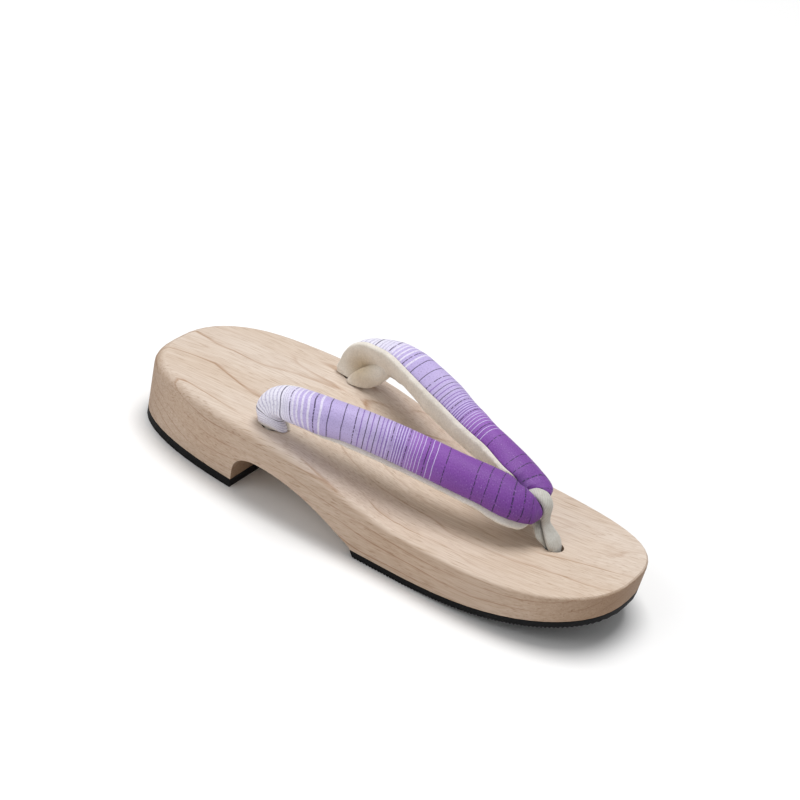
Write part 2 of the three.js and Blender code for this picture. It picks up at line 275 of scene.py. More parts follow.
# Edges that turn by more than this many degrees stay sharp
SHARP_TURN = 28


def sharpen(bm):
    """Shades a mesh smooth, apart from its sharp edges."""
    limit = math.radians(SHARP_TURN)
    for face in bm.faces:
        face.smooth = True
    for edge in bm.edges:
        edge.smooth = edge.calc_face_angle(0.0) < limit


# The tree's growth rings, in millimetres: where the pith lies beside and under the board, how far
# apart the rings are and how far they sway
PITH_SIDE = 22.0
PITH_HEIGHT = -85.0
RING_PITCH = 6.0
RING_SWAY = 24.0


# Paulownia, carved and sanded and left bare: a pale, dull, silky wood. Its growth lines are
# thin, uneven and half faded, with fine fibres and short brown pores between them.
def paulownia():
    made, tree, shader = finish_material("paulownia")
    spot = node(tree, "TexCoord").outputs["Object"]
    # The board is sawn a few degrees off the run of the tree
    mm = node(tree, "Mapping", {"Vector": spot, "Scale": (1000, 1000, 1000),
                                "Rotation": (0, math.radians(3), math.radians(-5))}).outputs[0]
    # Growth rings about a pith below the board, swaying along the trunk
    bend = node(tree, "Mapping", {"Vector": mm, "Scale": (1 / 110, 1 / 42, 1 / 42)}).outputs[0]
    sway = node(tree, "TexNoise", {"Vector": bend, "Scale": 1.0, "Detail": 2.0}).outputs["Fac"]
    parts = node(tree, "SeparateXYZ", {0: mm})
    y = node(tree, "Math", {0: parts.outputs["Y"], 1: PITH_SIDE}, operation="SUBTRACT").outputs[0]
    z = node(tree, "Math", {0: parts.outputs["Z"], 1: PITH_HEIGHT}, operation="SUBTRACT").outputs[0]
    yy = node(tree, "Math", {0: y, 1: y}, operation="MULTIPLY").outputs[0]
    zz = node(tree, "Math", {0: z, 1: z, 2: yy}, operation="MULTIPLY_ADD").outputs[0]
    radius = node(tree, "Math", {0: zz, 1: 0.5}, operation="POWER").outputs[0]
    swayed = node(tree, "Math", {0: sway, 1: RING_SWAY, 2: radius},
                  operation="MULTIPLY_ADD").outputs[0]
    ringed = node(tree, "Math", {0: swayed, 1: 1 / RING_PITCH}, operation="MULTIPLY").outputs[0]
    ring = node(tree, "Math", {0: ringed}, operation="FRACT").outputs[0]
    late = node(tree, "ValToRGB", {"Fac": ring}, stops=[
        (0.0, "#000000"), (0.6, "#000000"), (0.88, "#606060"), (0.955, "#ffffff"), (1.0, "#000000")])
    # A growth line comes and goes along the board
    reach = node(tree, "Mapping", {"Vector": mm, "Scale": (1 / 55, 1 / 13, 1 / 13)}).outputs[0]
    fade = node(tree, "TexNoise", {"Vector": reach, "Scale": 1.0, "Detail": 2.0}).outputs["Fac"]
    shown = node(tree, "MapRange", {0: fade, 1: 0.36, 2: 0.64, 3: 0.06, 4: 0.85}).outputs[0]
    line = node(tree, "Math", {0: late.outputs[0], 1: shown}, operation="MULTIPLY").outputs[0]
    lined = node(tree, "Mix", {0: line, 6: linear("#dcd2c8"), 7: linear("#ac8d73")},
                 data_type="RGBA").outputs[2]
    # Fibres 0.8 mm across, drawn coarser than the real ones so that they show
    thread = node(tree, "Mapping", {"Vector": mm, "Scale": (1 / 30, 1 / 0.8, 1 / 0.8)}).outputs[0]
    fibre = node(tree, "TexNoise", {"Vector": thread, "Scale": 1.0, "Detail": 4.0,
                                    "Roughness": 0.65}).outputs["Fac"]
    streak = node(tree, "ValToRGB", {"Fac": fibre}, stops=[(0.3, "#e0d6cc"), (0.62, "#ffffff")])
    dyed = node(tree, "Mix", {0: 0.7, 6: lined, 7: streak.outputs[0]},
                data_type="RGBA", blend_type="MULTIPLY").outputs[2]
    # Pores: brown dashes about 10 mm long and 0.5 mm wide, drawn wider than real so that they show
    prick = node(tree, "Mapping", {"Vector": mm, "Scale": (1 / 10, 1 / 0.5, 1 / 0.5)}).outputs[0]
    pore = node(tree, "TexNoise", {"Vector": prick, "Scale": 1.0, "Detail": 1.0}).outputs["Fac"]
    dark = node(tree, "MapRange", {0: pore, 1: 0.6, 2: 0.74, 3: 0.0, 4: 0.55}).outputs[0]
    pored = node(tree, "Mix", {0: dark, 6: dyed, 7: linear("#a08468")},
                 data_type="RGBA").outputs[2]
    # Broad clouds of yellower and greyer wood, as wide as a hand
    cloud = node(tree, "Mapping", {"Vector": mm, "Scale": (1 / 90, 1 / 35, 1 / 35)}).outputs[0]
    tone = node(tree, "TexNoise", {"Vector": cloud, "Scale": 1.0, "Detail": 2.0}).outputs["Fac"]
    warm = node(tree, "ValToRGB", {"Fac": tone}, stops=[(0.35, "#fffaf6"), (0.65, "#f6ece2")])
    toned = node(tree, "Mix", {0: 1.0, 6: pored, 7: warm.outputs[0]},
                 data_type="RGBA", blend_type="MULTIPLY").outputs[2]
    # Side grain is a shade warmer and darker than the planed top, and end grain more so:
    # partly the wood's own tone, partly painted shade on the walls that the lamps light least
    facing = node(tree, "SeparateXYZ", {0: node(tree, "TexCoord").outputs["Normal"]})
    upright = node(tree, "Math", {0: facing.outputs["Z"]}, operation="ABSOLUTE").outputs[0]
    wall = node(tree, "MapRange", {0: upright, 1: 0.9, 2: 0.3, 3: 0.0, 4: 1.0}).outputs[0]
    side_shaded = node(tree, "Mix", {0: wall, 6: toned, 7: linear("#e6ddd5")},
                 data_type="RGBA", blend_type="MULTIPLY").outputs[2]
    ahead = node(tree, "Math", {0: facing.outputs["X"]}, operation="ABSOLUTE").outputs[0]
    end = node(tree, "MapRange", {0: ahead, 1: 0.3, 2: 0.95, 3: 0.0, 4: 1.0}).outputs[0]
    end_shaded = node(tree, "Mix", {0: end, 6: side_shaded, 7: linear("#d6cabd")},
                 data_type="RGBA", blend_type="MULTIPLY").outputs[2]
    tree.links.new(end_shaded, shader.inputs["Base Color"])
    rough = node(tree, "MapRange", {0: fibre, 1: 0.3, 2: 0.7, 3: 0.72, 4: 0.55}).outputs[0]
    tree.links.new(rough, shader.inputs["Roughness"])
    grooves = node(tree, "Math", {0: dark, 1: -0.8, 2: fibre}, operation="MULTIPLY_ADD").outputs[0]
    relief = node(tree, "Bump", {"Strength": 0.25, "Distance": 0.0003, "Height": grooves})
    tree.links.new(relief.outputs[0], shader.inputs["Normal"])
    shader.inputs["IOR"].default_value = 1.45
    shader.inputs["Specular IOR Level"].default_value = 0.3
    return made


# Tread rubber, moulded and cut from sheet: matt black with a faint grain and patches of dust.
def tread_rubber():
    made, tree, shader = finish_material("tread_rubber")
    spot = node(tree, "TexCoord").outputs["Object"]
    # Grain 0.6 mm across, coarser than real so that it shows, and dust in patches of 14 mm
    grain = node(tree, "TexNoise", {"Vector": spot, "Scale": 1 / (0.6 * MM), "Detail": 3.0})
    dust = node(tree, "TexNoise", {"Vector": spot, "Scale": 1 / (14 * MM), "Detail": 4.0})
    shade = node(tree, "ValToRGB", {"Fac": dust.outputs["Fac"]},
                 stops=[(0.35, "#0b0b0c"), (0.75, "#151517")])
    tree.links.new(shade.outputs[0], shader.inputs["Base Color"])
    rough = node(tree, "MapRange", {0: grain.outputs["Fac"], 1: 0.3, 2: 0.7, 3: 0.65, 4: 0.85})
    tree.links.new(rough.outputs[0], shader.inputs["Roughness"])
    relief = node(tree, "Bump", {"Strength": 0.35, "Distance": 0.0002,
                                 "Height": grain.outputs["Fac"]})
    tree.links.new(relief.outputs[0], shader.inputs["Normal"])
    shader.inputs["IOR"].default_value = 1.52
    shader.inputs["Specular IOR Level"].default_value = 0.2
    return made


# Where the cloth's threads change colour, in millimetres from the tip of the strap: the ground
# runs from deep purple at the toe to near white at the heel, with an undyed end in the seat.
GROUND = [
    (0, "#743c94"), (38, "#8045a2"), (50, "#8b52b0"), (58, "#9869bd"), (66, "#aa92ce"),
    (72, "#baa9d9"), (80, "#bfb0dd"), (98, "#bbacdd"), (108, "#bfb2df"), (112, "#e0dbf1"),
    (118, "#e8e6f3"), (130, "#eae8f3"), (132, "#e6dfd2"), (138, "#e6dfd2"),
]
WHITE_LINES = [47.5, 50.0, 53.7, 55.6, 57.3, 58.9, 60.2, 62.6, 63.8, 65.0, 66.1, 67.3, 70.0, 71.4]
PALE_BANDS = [100.2, 104.2, 106.3, 108.2, 109.9]
VIOLET_LINES = [63.2, 64.4, 65.6, 66.8, 70.7, 72.4, 74.2, 78.6, 83.3]
GREY_LINES = [112.6, 113.7, 114.8, 117.6, 118.7, 119.8, 120.9, 122.0, 123.1, 125.5, 126.6, 127.8,
              129.0]
BROKEN_LINES = [4.4, 9.2, 12.6, 17.8, 23.1, 28.3, 42.4, 51.5, 61.5, 68.7, 85.7, 102.3, 111.1]
DARK_LINES = [76.3, 80.8, 90.8, 96.9, 116.4, 124.4]
CLOTH_LENGTH = 138.0


# Striped cotton, closely woven and pulled tight over wadding: a soft silky gloss on the crown,
# cross stripes in dyed threads, some of them broken where they pass under the weave.
def striped_cotton():
    made, tree, shader = finish_material("striped_cotton")
    cloth = node(tree, "UVMap", uv_map="cloth").outputs[0]
    parts = node(tree, "SeparateXYZ", {0: cloth})
    along = parts.outputs["X"]
    # Threads never lie quite straight
    drift = node(tree, "Mapping", {"Vector": cloth, "Scale": (1 / 25, 1 / 9, 1)}).outputs[0]
    wander = node(tree, "TexNoise", {"Vector": drift, "Scale": 1.0, "Detail": 1.0}).outputs["Fac"]
    along = node(tree, "Math", {0: wander, 1: 0.7, 2: along}, operation="MULTIPLY_ADD").outputs[0]
    along = node(tree, "Math", {0: along, 1: 0.35}, operation="SUBTRACT").outputs[0]
    share = node(tree, "MapRange", {0: along, 1: 0.0, 2: CLOTH_LENGTH, 3: 0.0, 4: 1.0}).outputs[0]
    ground = node(tree, "ValToRGB", {"Fac": share},
                  stops=[(place / CLOTH_LENGTH, code) for place, code in GROUND])
    colour = ground.outputs[0]
    # Broken threads: a line shows as dashes a millimetre or two long
    broken = node(tree, "Mapping", {"Vector": cloth, "Scale": (1 / 2.5, 1 / 1.3, 1)}).outputs[0]
    breaks = node(tree, "TexNoise", {"Vector": broken, "Scale": 1.0, "Detail": 1.0}).outputs["Fac"]
    dashes = node(tree, "MapRange", {0: breaks, 1: 0.40, 2: 0.48, 3: 0.1, 4: 0.9}).outputs[0]
    whole = node(tree, "MapRange", {0: breaks, 1: 0.2, 2: 0.45, 3: 0.55, 4: 0.85}).outputs[0]
    for lines, half, code, shown in ((WHITE_LINES, 0.16, "#d6ccf0", whole),
                                     (PALE_BANDS, 0.4, "#e6e1f3", whole),
                                     (VIOLET_LINES, 0.25, "#7f5cad", whole),
                                     (GREY_LINES, 0.2, "#c4c0d6", whole),
                                     (BROKEN_LINES, 0.22, "#2e1a4a", dashes),
                                     (DARK_LINES, 0.22, "#2e1f4a", whole)):
        mask = None
        for place in lines:
            hit = node(tree, "Math", {0: along, 1: place, 2: half}, operation="COMPARE").outputs[0]
            if mask is not None:
                hit = node(tree, "Math", {0: mask, 1: hit}, operation="MAXIMUM").outputs[0]
            mask = hit
        amount = node(tree, "Math", {0: mask, 1: shown}, operation="MULTIPLY").outputs[0]
        colour = node(tree, "Mix", {0: amount, 6: colour, 7: linear(code)},
                      data_type="RGBA").outputs[2]
    # Slubs: darker specks of yarn, drawn coarser than the real thread to show, and lighter flecks of
    # painted glint
    speck = node(tree, "Mapping", {"Vector": cloth, "Scale": (1 / 0.5, 1 / 0.8, 1)}).outputs[0]
    slub = node(tree, "TexNoise", {"Vector": speck, "Scale": 1.0, "Detail": 2.0}).outputs["Fac"]
    yarn = node(tree, "ValToRGB", {"Fac": slub}, stops=[(0.3, "#d8d2dc"), (0.5, "#ffffff")])
    woven = node(tree, "Mix", {0: 0.8, 6: colour, 7: yarn.outputs[0]},
                 data_type="RGBA", blend_type="MULTIPLY").outputs[2]
    # Painted highlight: light flecks of glint where the slubs run highest
    glint = node(tree, "MapRange", {0: slub, 1: 0.62, 2: 0.75, 3: 0.0, 4: 0.25}).outputs[0]
    glint_flecked = node(tree, "Mix", {0: glint, 6: woven, 7: linear("#d8cbe9")},
                   data_type="RGBA").outputs[2]
    # Painted shade in the valley where the two arms press together at the V, along each inner edge near
    # the tip
    near_edge = node(tree, "MapRange", {0: parts.outputs["Y"], 1: 6.0, 2: 1.0,
                                        3: 0.0, 4: 1.0}).outputs[0]
    near_tip = node(tree, "MapRange", {0: parts.outputs["X"], 1: 24.0, 2: 17.0,
                                       3: 0.0, 4: 0.75}).outputs[0]
    pinch_shade = node(tree, "Math", {0: near_edge, 1: near_tip}, operation="MULTIPLY").outputs[0]
    pinch_shaded = node(tree, "Mix", {0: pinch_shade, 6: glint_flecked, 7: linear("#8c78a0")},
                data_type="RGBA", blend_type="MULTIPLY").outputs[2]
    tree.links.new(pinch_shaded, shader.inputs["Base Color"])
    # Plain weave, threads 0.55 mm apart, twice as coarse as real so that it shows
    warp = node(tree, "Mapping", {"Vector": cloth, "Scale": (1 / 0.55, 1 / 0.55, 1)}).outputs[0]
    check = node(tree, "TexVoronoi", {"Vector": warp, "Scale": 1.0, "Randomness": 0.25},
                 distance="CHEBYCHEV").outputs["Distance"]
    height = node(tree, "Math", {0: check, 1: -0.5, 2: slub}, operation="MULTIPLY_ADD").outputs[0]
    relief = node(tree, "Bump", {"Strength": 0.35, "Distance": 0.0003, "Height": height})
    tree.links.new(relief.outputs[0], shader.inputs["Normal"])
    shader.inputs["Roughness"].default_value = 0.58
    shader.inputs["IOR"].default_value = 1.45
    shader.inputs["Sheen Weight"].default_value = 0.15
    shader.inputs["Sheen Roughness"].default_value = 0.4
    return made


# The inside of the far arm's rear bend, in metres, where the velvet's painted shade is deepest
BEND_SPOT = (-0.0395, 0.0285, 0.0425)


# Cotton velvet: a short cream nap that lights up at its edges and lies in faint patches.
def cream_velvet():
    made, tree, shader = finish_material("cream_velvet")
    spot = node(tree, "TexCoord").outputs["Object"]
    brushed = node(tree, "TexNoise", {"Vector": spot, "Scale": 1 / (9 * MM), "Detail": 3.0})
    patch = node(tree, "ValToRGB", {"Fac": brushed.outputs["Fac"]},
                 stops=[(0.35, "#e6dfd4"), (0.65, "#f0eae0")])
    # Nap about 0.7 mm across, coarser than the real pile so that it shows
    nap = node(tree, "TexNoise", {"Vector": spot, "Scale": 1 / (0.7 * MM), "Detail": 3.0})
    speck = node(tree, "MapRange", {0: nap.outputs["Fac"], 1: 0.3, 2: 0.7, 3: 0.86, 4: 1.0})
    napped = node(tree, "Mix", {0: 1.0, 6: patch.outputs[0], 7: speck.outputs[0]},
                  data_type="RGBA", blend_type="MULTIPLY")
    # Painted shade: the velvet is darker and yellower inside the rear bend, fading out over 10 mm
    off = node(tree, "VectorMath", {0: spot, 1: BEND_SPOT}, operation="DISTANCE").outputs["Value"]
    # How much painted shade falls at each point, most at the bend's inside
    flat = node(tree, "MapRange", {0: off, 1: 0.010, 2: 0.002, 3: 0.0, 4: 0.8}).outputs[0]
    bend_shaded = node(tree, "Mix", {0: flat, 6: napped.outputs[2], 7: linear("#d6c6ab")},
                data_type="RGBA", blend_type="MULTIPLY").outputs[2]
    tree.links.new(bend_shaded, shader.inputs["Base Color"])
    relief = node(tree, "Bump", {"Strength": 0.5, "Distance": 0.0004, "Height": nap.outputs["Fac"]})
    tree.links.new(relief.outputs[0], shader.inputs["Normal"])
    shader.inputs["Roughness"].default_value = 0.95
    shader.inputs["Specular IOR Level"].default_value = 0.15
    shader.inputs["Sheen Weight"].default_value = 0.6
    shader.inputs["Sheen Roughness"].default_value = 0.35
    return made


# White cotton twill: a soft undyed band with fine slanting ribs.
def cotton_twill():
    made, tree, shader = finish_material("cotton_twill")
    cloth = node(tree, "UVMap", uv_map="cloth").outputs[0]
    # Ribs 0.9 mm apart, about twice as coarse as the real twill so that they show
    slant = node(tree, "Mapping", {"Vector": cloth,
                                   "Rotation": (0, 0, math.radians(38))}).outputs[0]
    parts = node(tree, "SeparateXYZ", {0: slant})
    turned = node(tree, "Math", {0: parts.outputs["X"], 1: 2 * math.pi / 0.9},
                  operation="MULTIPLY").outputs[0]
    rib = node(tree, "Math", {0: turned}, operation="SINE").outputs[0]
    spot = node(tree, "TexCoord").outputs["Object"]
    fluff = node(tree, "TexNoise", {"Vector": spot, "Scale": 1 / (1.1 * MM), "Detail": 3.0})
    mixed = node(tree, "Math", {0: rib, 1: 0.14, 2: fluff.outputs["Fac"]},
                 operation="MULTIPLY_ADD").outputs[0]
    shade = node(tree, "ValToRGB", {"Fac": mixed}, stops=[(0.25, "#b9b6ad"), (0.7, "#c9c7c0")])
    tree.links.new(shade.outputs[0], shader.inputs["Base Color"])
    relief = node(tree, "Bump", {"Strength": 0.5, "Distance": 0.0003, "Height": mixed})
    tree.links.new(relief.outputs[0], shader.inputs["Normal"])
    shader.inputs["Roughness"].default_value = 0.9
    shader.inputs["Specular IOR Level"].default_value = 0.2
    shader.inputs["Sheen Weight"].default_value = 0.3
    return made


def wood_base():
    """The wooden base, which keeps its carved form."""
    bm = node_copy("wood_base")
    sharpen(bm)
    add_piece("carved_base", bm, paulownia(), "paulownia", "wood_base")


# Ribs of the forefoot's tread, across the shoe: their pitch and depth, how far up the ground side
# reaches, and the size of the slivers that the cuts leave and that are dissolved
RIB_PITCH = 1.5
RIB_DEPTH = 0.5
GROUND_SIDE = 0.4
SLIVER = 0.01
# Where the tread starts to rock up, and its rise at the toe over that length
SPRING_START = 30.0
SPRING_HEIGHT = 14.5
SPRING_LENGTH = 90.0


def ground_height(x):
    """Height of the tread's ground side, flat under the ball and rocking up to the toe."""
    return SPRING_HEIGHT * (max(0.0, x - SPRING_START) / SPRING_LENGTH) ** 2


def treads():
    """A plain tread under the heel, and one with cross ribs under the forefoot."""
    rubber = tread_rubber()
    heel = node_copy("rubber_heel")
    sharpen(heel)
    add_piece("heel_tread", heel, rubber, "tread_rubber", "rubber_heel")
    fore = node_copy("rubber_forefoot")
    low = min(v.co.x for v in fore.verts)
    high = max(v.co.x for v in fore.verts)
    for cut in range(1, int((high - low) / (RIB_PITCH / 2)) + 1):
        whole = fore.verts[:] + fore.edges[:] + fore.faces[:]
        bmesh.ops.bisect_plane(fore, geom=whole, dist=1e-5,
                               plane_co=(low + cut * RIB_PITCH / 2, 0, 0), plane_no=(1, 0, 0))
    for vert in fore.verts:
        if vert.co.z < ground_height(vert.co.x) + GROUND_SIDE:
            share = (vert.co.x - low) / RIB_PITCH % 1
            vert.co.z += RIB_DEPTH * (1 - abs(2 * share - 1))
    bmesh.ops.dissolve_degenerate(fore, edges=fore.edges, dist=SLIVER)
    bmesh.ops.triangulate(fore, faces=fore.faces)
    sharpen(fore)
    add_piece("ribbed_tread", fore, rubber, "tread_rubber", "rubber_forefoot")


def post_rows():
    """Rows of the toe post's band, each with its directions and its way along."""
    rows = []
    way = 0.0
    for value, along in path_rows(POST_STATIONS, POST_PITCH):
        x, y, z, width, thick = value
        centre = Vector((x, y, z))
        if rows:
            way += (centre - rows[-1].centre).length
        out = along.cross(Vector((0, 1, 0))).normalized()
        rows.append(SimpleNamespace(centre=centre, along=along, out=out,
                                    width=width, thick=thick, way=way))
    return rows


# How the toe post presses the padding in: the room around the band, one step and the most steps
PRESS_CLEAR = 0.35
PRESS_STEP = 0.15
PRESS_TRIES = 40


def pressed(point, inward, rows):
    """Moves a point of the padding inwards until the toe post leaves it clear."""
    for _ in range(PRESS_TRIES):
        inside = False
        for row in rows:
            gap = point - row.centre
            if abs(gap.dot(row.along)) > POST_PITCH:
                continue
            side = gap.y / (row.width / 2 + PRESS_CLEAR)
            up = gap.dot(row.out) / (row.thick / 2 + PRESS_CLEAR)
            if side * side + up * up < 1:
                inside = True
                break
        if not inside:
            break
        point = point + inward * PRESS_STEP
    return point


# How far the cloth on each arm is pulled towards the toe, by the way along the arm: it was never
# drawn on evenly, and the near arm's cloth is stretched most around its rear bend
NEAR_PULL = [(55, -1.3), (62, -0.5), (77, -0.3), (90, -0.1), (103, 0.1), (110, 1.3), (114, 2.7),
             (118, 2.4), (124, 1.0)]
FAR_PULL = [(18, 5.4), (23, 5.5), (35, 7.1), (43, 8.3), (53, 8.8), (60, 9.1), (66, 9.9), (71, 10.3),
            (81, 10.1), (87, 9.9), (93, 9.1), (103, 8.1), (111, 5.4), (121, 3.0)]
# How the stripes slant across the arm and crowd together inside the rear bend
CLOTH_SLANT = 1.4
CLOTH_CROWDING = 5.0
CROWDING_WAY = (110, 120)
CROWDING_POWER = 1.5

# Creases in the cover: the way along the arm, the edge that they start from and their depth
CREASES = [
    (9.5, 1, 0.5), (13.0, 1, 0.7), (113.5, -1, 0.4), (116.5, -1, 0.6), (119.5, -1, 0.6),
    (122.5, -1, 0.4),
]
CREASE_WIDTH = 1.0
CREASE_REACH = 0.9
# Puckers along the seams, and lumps of wadding that fade towards the edges
SEAM_PITCH = 3.2
SEAM_PUCKER = 0.2
SEAM_START = 0.75
LUMP_HEIGHT = 0.3
LUMP_SIZE = 9.0
LUMP_FADE = 4

# The near arm lies a little lower and leans back at its bend, and the far arm leans forward
NEAR_LEAN = 1.8
NEAR_DROP = 1.1
NEAR_SAG = 1.8
FAR_LEAN = 1.2
FAR_SAG = 0.9
FAR_FRONT_SAG = 0.7
FAR_TIP_CUT = 3.5
FAR_TIP_REACH = 1.3
# Where each move sets in and where it is full: heights, and places behind or ahead of the middle
LIFTED = (34.5, 44)
BEND_BACK = (20, 40)
SAG_BACK = (10, 24)
SAG_END_BACK = (34, 42)
SAG_CEILING = 52
SAG_FADE = 8
DROP_BACK = (-58, -30)
FRONT_AHEAD = (6, 24)
FRONT_ASIDE = (0.5, 6)
TIP_ASIDE = (2, 6)
TIP_CUT_AHEAD = (63, 71)
TIP_CUT_CEILING = 43.5
TIP_CUT_FADE = 5
TIP_REACH_AHEAD = (60, 68)
TIP_REACH_UP = (41, 45)

# The wood's top around the strap's seats, and the least that the cloth stays above it
TOP_PLACES = (-50, -40, -36, -32, -28)
TOP_HEIGHTS = (34.0, 33.84, 33.58, 33.18, 32.68)
SEAT_GAP = 0.12


def settled(point):
    """Where a point of the strap comes to lie: the two arms of a worn strap never lie alike."""
    high = smooth_share(point.z, *LIFTED)
    bend = smooth_share(-point.x, *BEND_BACK) * high
    if point.y < 0:
        under = smooth_share(-point.x, *SAG_BACK) * (1 - smooth_share(-point.x, *SAG_END_BACK))
        drop = NEAR_DROP * smooth_share(-point.x, *DROP_BACK) * high
        drop += NEAR_SAG * under * smooth_share(SAG_CEILING - point.z, 0, SAG_FADE)
        floor = float(np.interp(point.x, TOP_PLACES, TOP_HEIGHTS)) + SEAT_GAP
        if point.z > floor:
            drop = min(drop, point.z - floor)
        return point + Vector((-NEAR_LEAN * bend, 0, -drop))
    front = smooth_share(point.x, *FRONT_AHEAD) * smooth_share(point.y, *FRONT_ASIDE)
    outside = smooth_share(point.y, *TIP_ASIDE)
    cut = smooth_share(point.x, *TIP_CUT_AHEAD) * outside
    cut *= smooth_share(TIP_CUT_CEILING - point.z, 0, TIP_CUT_FADE)
    reach = smooth_share(point.x, *TIP_REACH_AHEAD) * outside
    reach *= smooth_share(point.z, *TIP_REACH_UP)
    ahead = FAR_LEAN * bend - FAR_TIP_CUT * cut + FAR_TIP_REACH * reach
    return point + Vector((ahead, 0, -FAR_SAG * bend - FAR_FRONT_SAG * front))


# How the padding swells and dips before the V: how far, and where that comes and goes
V_SWELL = 2.7
V_SWELL_DOWN = 0.5
V_SWELL_COMES = (34, 52)
V_SWELL_GOES = (60, 70)
V_DIP = 1.8
V_DIP_COMES = (54, 60)
V_DIP_GOES = (64, 70)
OUTER_SWELL = 0.9
OUTER_SWELL_COMES = (46, 60)


def inner_swell(x, share):
    """How the padding swells down and towards the other arm before the V."""
    swell = V_SWELL * smooth_share(x, *V_SWELL_COMES) * (1 - smooth_share(x, *V_SWELL_GOES))
    dip = V_DIP * smooth_share(x, *V_DIP_COMES) * (1 - smooth_share(x, *V_DIP_GOES))
    return Vector((0, -swell, -V_SWELL_DOWN * swell - dip)) * max(0.0, share) ** 2


def outer_swell(x):
    """How far the padding's outer edge swells before the V."""
    return OUTER_SWELL * smooth_share(x, *OUTER_SWELL_COMES)


def bow(value):
    """A sine or cosine, filled out to the fuller curve of a stuffed section."""
    return math.copysign(abs(value) ** (2 / COVER_POWER), value)


def cover_section(row):
    """Points of the cover's section, across and out: over the crown, then back under it."""
    half = row.width / 2
    rise = row.thick - COVER_BASE
    points = []
    for side in range(CROWN_SIDES):
        turn = side * math.pi / (CROWN_SIDES - 1)
        points.append((half * bow(math.cos(turn)), COVER_BASE + rise * bow(abs(math.sin(turn)))))
    for side in range(1, FACE_SIDES + 1):
        share = 2 * side / (FACE_SIDES + 1) - 1
        points.append((half * share, COVER_BASE))
    return points


def cloth_place(way, share):
    """Millimetres along the cloth at a way along the arm and a share across it."""
    crowd = smooth_share(way, *CROWDING_WAY) * CLOTH_CROWDING
    return way - CLOTH_SLANT * share - crowd * max(0.0, -share) ** CROWDING_POWER


def padding(row, share):
    """How far the cover stands out or in at a share across: lumps of wadding, creases, seams."""
    edge = abs(share)
    spot = row.centre + row.across * (share * row.width / 2)
    rise = LUMP_HEIGHT * noise.noise(spot / LUMP_SIZE) * (1 - edge ** LUMP_FADE)
    pucker = SEAM_PUCKER * math.sin(row.way * 2 * math.pi / SEAM_PITCH)
    rise += pucker * smooth_share(edge, SEAM_START, 1.0)
    for way, side, depth in CREASES:
        dip = math.exp(-((row.way - way) / CREASE_WIDTH) ** 2)
        rise -= depth * dip * smooth_share(side * share, 0.0, CREASE_REACH)
    return rise


# The rounded tip of each arm, as steps beyond its first row and shares of its section, and the
# steps under the seat at which the strap has narrowed to its tail
TIP_CLOSING = ((1.5, 0.35), (1.1, 0.7), (0.5, 0.9))
TAIL_STEPS = (0.05, 0.5)
# Points of the flat face keep still this close to it, apart from those near its edges
FACE_STILL = 0.01
FACE_EDGE = 0.9
# The toe post presses in rows ahead of this place
PRESS_AHEAD = 55


def strap_cover(rows):
    """Both arms of the strap: stuffed tubes that meet at the V, pressed in by the toe post."""
    post = post_rows()
    rings = []
    maps = []
    tip = rows[0]
    closing = [SimpleNamespace(**{**vars(tip), "centre": tip.centre - tip.along * step, "scale": scale})
               for step, scale in TIP_CLOSING]
    tail = rows[-1]
    seat = tail.centre + Vector((0, STRAP_TAIL.near, 0))
    heights = [*(tail.centre.z - step for step in TAIL_STEPS), STRAP_TAIL.bottom]
    narrow = [SimpleNamespace(**{**vars(tail), "centre": Vector((seat.x, seat.y, height)), "scale": 1,
                                 "width": STRAP_TAIL.width, "thick": STRAP_TAIL.thick})
              for height in heights]
    for row in [*closing, *rows, *narrow]:
        scale = getattr(row, "scale", 1)
        middle = (row.thick + COVER_BASE) / 2
        ring = []
        alongs = []
        for u, v in cover_section(row):
            share = u / (row.width / 2)
            across = (u - outer_swell(row.centre.x) * min(0.0, share) ** 2) * scale
            point = row.centre + row.across * across + row.out * (middle + (v - middle) * scale)
            point += inner_swell(row.centre.x, share) * scale
            if v > COVER_BASE + FACE_STILL or abs(share) > FACE_EDGE:
                point += row.out * padding(row, share)
            if row.centre.x > PRESS_AHEAD:
                point = pressed(point, -row.out, post)
            ring.append(point)
            alongs.append(cloth_place(row.way, share))
        rings.append(ring)
        maps.append(list(zip([*alongs, alongs[0]], girth(ring))))
    bm = ring_tube(rings, maps)
    bmesh.ops.bisect_plane(bm, geom=bm.verts[:] + bm.edges[:] + bm.faces[:], dist=1e-4,
                           plane_co=(0, 0, 0), plane_no=(0, -1, 0), clear_outer=True)
    layer = bm.loops.layers.uv["cloth"]
    bmesh.ops.mirror(bm, geom=bm.verts[:] + bm.edges[:] + bm.faces[:], axis="Y",
                     matrix=Matrix.Identity(4), merge_dist=1e-3)
    for face in bm.faces:
        pull = FAR_PULL if face.calc_center_median().y > 0 else NEAR_PULL
        for loop in face.loops:
            loop[layer].uv.x += float(np.interp(loop[layer].uv.x, *zip(*pull)))
    for vert in bm.verts:
        vert.co = settled(vert.co)
    bmesh.ops.recalc_face_normals(bm, faces=bm.faces)
    piece = add_piece("strap_cover", bm, striped_cotton(), "striped_cotton", "strap")
    soften(piece, 1)


# The velvet lining under each arm: its top against the cover, the crown of its face, how far its
# inner edge stands past the cover, how its end is rounded at the seat, and its lip
LINING_TOP = 1.95
LINING_CROWN = 0.9
FAR_RIM = 0.35
NEAR_RIM = -0.4
SEAT_ROUND = 1.8
LINING_LIP = 0.6
LINING_FIRST_X = 70.2
LINING_SHARES = (-0.96, -0.8, -0.6, -0.4, -0.2, 0, 0.2, 0.4, 0.6, 0.8, 0.96)
# How plump the velvet is towards its inner edge, by the place along the shoe
PLUMP_PLACES = (-36, -14, 2, 18, 34, 48, 58, 66, 70)
PLUMP_HEIGHTS = (0.0, 1.8, 3.5, 3.7, 3.6, 3.2, 2.2, 0.8, 0.2)
PLUMP_PEAK = 1.185
# How far it rolls out past the cover's outer edge, and further still before the V
ROLL_PAST = 1.5
ROLL_COMES = (-28.0, -8.0)
TIP_ROLL = 0.8
TIP_ROLL_COMES = (46, 62)
